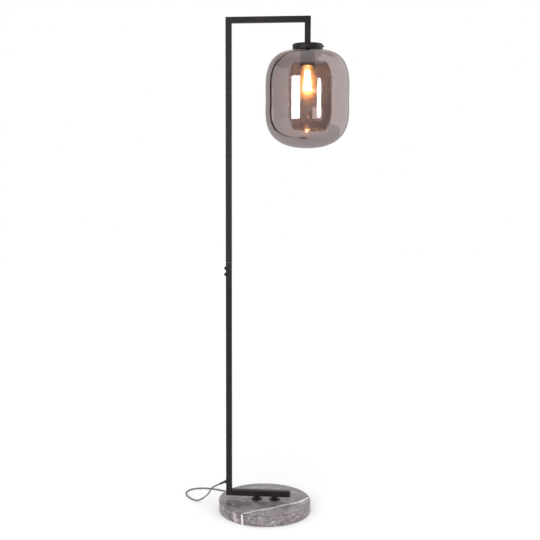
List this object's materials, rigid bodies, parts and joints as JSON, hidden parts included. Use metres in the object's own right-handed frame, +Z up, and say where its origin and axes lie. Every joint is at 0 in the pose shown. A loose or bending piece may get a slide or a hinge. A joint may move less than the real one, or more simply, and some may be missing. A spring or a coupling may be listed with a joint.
{
  "type": "globe floor lamp",
  "caption": "Floor lamp with a square-tube bracket frame on a round marble foot, a smoked glass shade hung under a round cap, a teardrop filament bulb and a cord put away behind the foot.",
  "frame": {"origin": "centre of the marble foot's underside, on the floor", "axes": "+Z up along the pole, +X from the pole along the arm towards the shade"},
  "size_m": [0.5205, 0.3511, 1.521],
  "materials": {
    "marble": "honed",
    "felt": "felt",
    "steel": "plain",
    "black_paint": "satin",
    "black_plastic": "matte",
    "rubber": "matte",
    "ceramic": "unglazed",
    "brass": "plain",
    "cord_sheath": "satin",
    "smoked_glass": "smoked, half-mirrored",
    "amber_glass": "clear, tinted",
    "clear_glass": "clear",
    "black_glass": "opaque",
    "filament": "glowing"
  },
  "bodies": {
    "stand": {"base_bolts": "steel", "base_pad": "felt", "base_washers": "steel", "cap_nipple": "steel", "cord": "cord_sheath", "cord_gland": "black_plastic", "cord_hank": "cord_sheath", "cord_tail": "cord_sheath", "drop_insert": "steel", "foot_end_plug": "black_plastic", "foot_inserts": "steel", "hank_tie": "black_plastic", "holder_contact": "brass", "holder_core": "ceramic", "holder_cover": "black_paint", "holder_shell": "brass", "inner_lead": "cord_sheath", "joint_screws": "black_paint", "joint_sleeve": "steel", "lower_frame": "black_paint", "marble_base": "marble", "nipple_nut": "steel", "plug_body": "black_plastic", "plug_pins": "brass", "shade_cap": "black_paint", "shade_gasket": "rubber", "standoff_left": "black_paint", "standoff_right": "black_paint", "upper_frame": "black_paint"},
    "shade": {"glass_shade": "smoked_glass"},
    "bulb_travel": {"bulb_contact": "steel"},
    "bulb_turn": {"bulb_glass": "amber_glass", "bulb_cap": "brass", "bulb_insulator": "black_glass", "bulb_stem": "clear_glass", "filaments": "filament", "filament_wires": "steel"},
    "screw_1_travel": {"screw_tip_1": "rubber"},
    "screw_1_turn": {"gallery_screw_1": "black_paint"},
    "screw_2_travel": {"screw_tip_2": "rubber"},
    "screw_2_turn": {"gallery_screw_2": "black_paint"},
    "screw_3_travel": {"screw_tip_3": "rubber"},
    "screw_3_turn": {"gallery_screw_3": "black_paint"}
  },
  "joints": [
    {"name": "shade_drop", "type": "slide", "parent": "stand", "child": "shade", "axis": [0, 0, -1], "range_m": [0, 0.17]},
    {"name": "bulb_travel", "type": "slide", "parent": "stand", "child": "bulb_travel", "axis": [0, 0, -1], "range_m": [0, 0.01815]},
    {"name": "bulb_screw", "type": "hinge", "parent": "bulb_travel", "child": "bulb_turn", "pos_m": [0.1247, 0, 1.387], "axis": [0, 0, -1], "range_deg": [0, 1800]},
    {"name": "screw_1_travel", "type": "slide", "parent": "stand", "child": "screw_1_travel", "axis": [0.9903, -0.1392, 0], "range_m": [0, 0.0035]},
    {"name": "screw_1_turn", "type": "hinge", "parent": "screw_1_travel", "child": "screw_1_turn", "pos_m": [0.16926, -0.00626, 1.4308], "axis": [0.9903, -0.1392, 0], "range_deg": [0, 1800]},
    {"name": "screw_2_travel", "type": "slide", "parent": "stand", "child": "screw_2_travel", "axis": [-0.6157, -0.788, 0], "range_m": [0, 0.0035]},
    {"name": "screw_2_turn", "type": "hinge", "parent": "screw_2_travel", "child": "screw_2_turn", "pos_m": [0.09699, -0.03546, 1.4308], "axis": [-0.6157, -0.788, 0], "range_deg": [0, 1800]},
    {"name": "screw_3_travel", "type": "slide", "parent": "stand", "child": "screw_3_travel", "axis": [-0.3746, 0.9272, 0], "range_m": [0, 0.0035]},
    {"name": "screw_3_turn", "type": "hinge", "parent": "screw_3_travel", "child": "screw_3_turn", "pos_m": [0.10784, 0.04172, 1.4308], "axis": [-0.3746, 0.9272, 0], "range_deg": [0, 1800]}
  ],
  "couplings": [
    {"joint": "bulb_travel", "follows": "bulb_screw", "m_per_rad": 0.00057757},
    {"joint": "screw_1_turn", "follows": "screw_1_travel", "rad_per_m": 8975.9},
    {"joint": "screw_2_turn", "follows": "screw_2_travel", "rad_per_m": 8975.9},
    {"joint": "screw_3_turn", "follows": "screw_3_travel", "rad_per_m": 8975.9}
  ]
}
